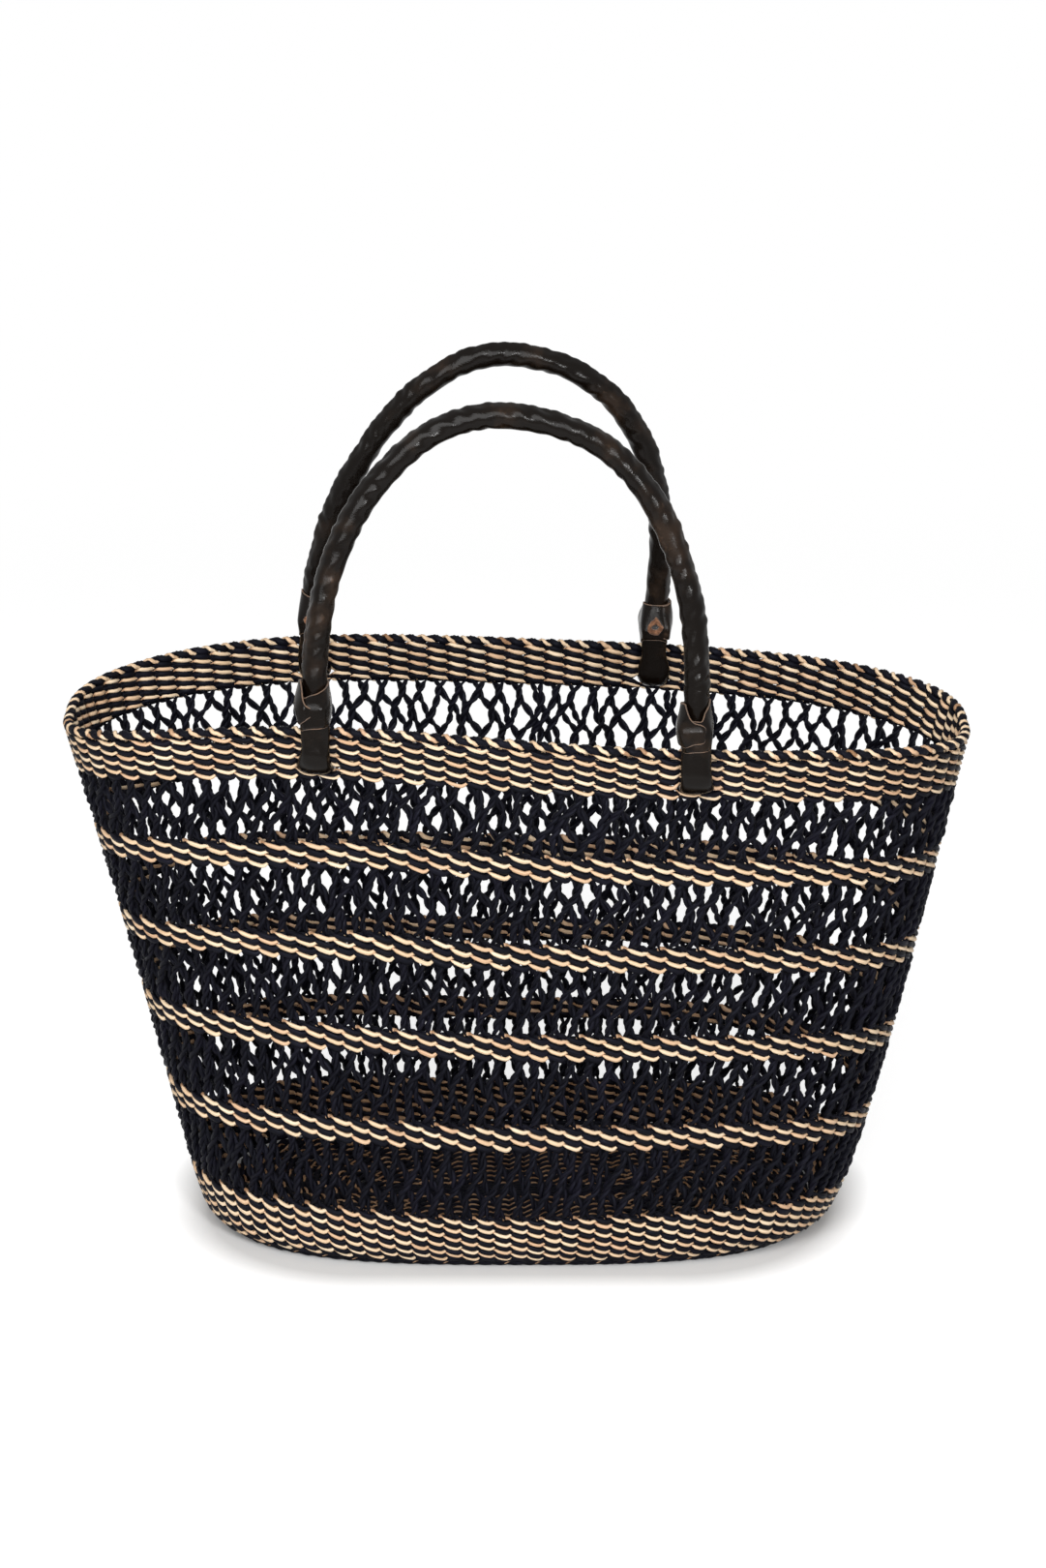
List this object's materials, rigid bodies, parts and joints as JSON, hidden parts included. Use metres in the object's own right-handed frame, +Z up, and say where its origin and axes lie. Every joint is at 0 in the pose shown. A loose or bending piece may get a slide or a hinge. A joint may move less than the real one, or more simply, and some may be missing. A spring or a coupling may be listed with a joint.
{
  "type": "tote bag",
  "caption": "Oval straw market tote basket with twined bands, openwork courses and two leather-wrapped rope handles that swing.",
  "frame": {"origin": "on the floor under the middle of the basket", "axes": "+X to the right end of the basket seen from the front, +Y to its back, +Z up"},
  "size_m": [0.4906, 0.2151, 0.4751],
  "materials": {
    "natural_straw": "woven elephant grass, satin",
    "dyed_straw": "woven dyed grass, satin",
    "dark_leather": "dark brown, polished with wear",
    "tan_suede": "raw tan, matt",
    "rope_fibre": "twisted plant fibre"
  },
  "bodies": {
    "basket": {"base_mat": "dyed_straw", "base_band": "natural_straw", "openwork_1": "dyed_straw", "accent_band_1": "natural_straw", "openwork_2": "dyed_straw", "accent_band_2": "natural_straw", "openwork_3": "dyed_straw", "accent_band_3": "natural_straw", "openwork_4": "dyed_straw", "accent_band_4": "natural_straw", "openwork_5": "dyed_straw", "rim_band": "natural_straw", "rim_border": "natural_straw", "handle_loop_front_left": "dark_leather", "handle_loop_front_right": "dark_leather", "handle_loop_back_left": "dark_leather", "handle_loop_back_right": "dark_leather"},
    "handle_front": {"handle_front_cover": "dark_leather", "handle_front_core": "rope_fibre", "collar_front_left": "dark_leather", "collar_front_right": "dark_leather", "strap_tail_front_left": "tan_suede", "strap_tail_front_right": "tan_suede"},
    "handle_back": {"handle_back_cover": "dark_leather", "handle_back_core": "rope_fibre", "collar_back_left": "dark_leather", "collar_back_right": "dark_leather", "strap_tail_back_left": "tan_suede", "strap_tail_back_right": "tan_suede"}
  },
  "joints": [
    {"name": "front_handle_swing", "type": "hinge", "parent": "basket", "child": "handle_front", "pos_m": [-0.0055, -0.09221, 0.29597], "axis": [0.9981, -0.0046, -0.0608], "range_deg": [-20, 85], "deforming": ["handle_loop_front_left", "handle_loop_front_right"]},
    {"name": "back_handle_swing", "type": "hinge", "parent": "basket", "child": "handle_back", "pos_m": [-0.019, 0.09214, 0.29698], "axis": [-0.9994, -0.0157, 0.0295], "range_deg": [-20, 85], "deforming": ["handle_loop_back_left", "handle_loop_back_right"]}
  ]
}
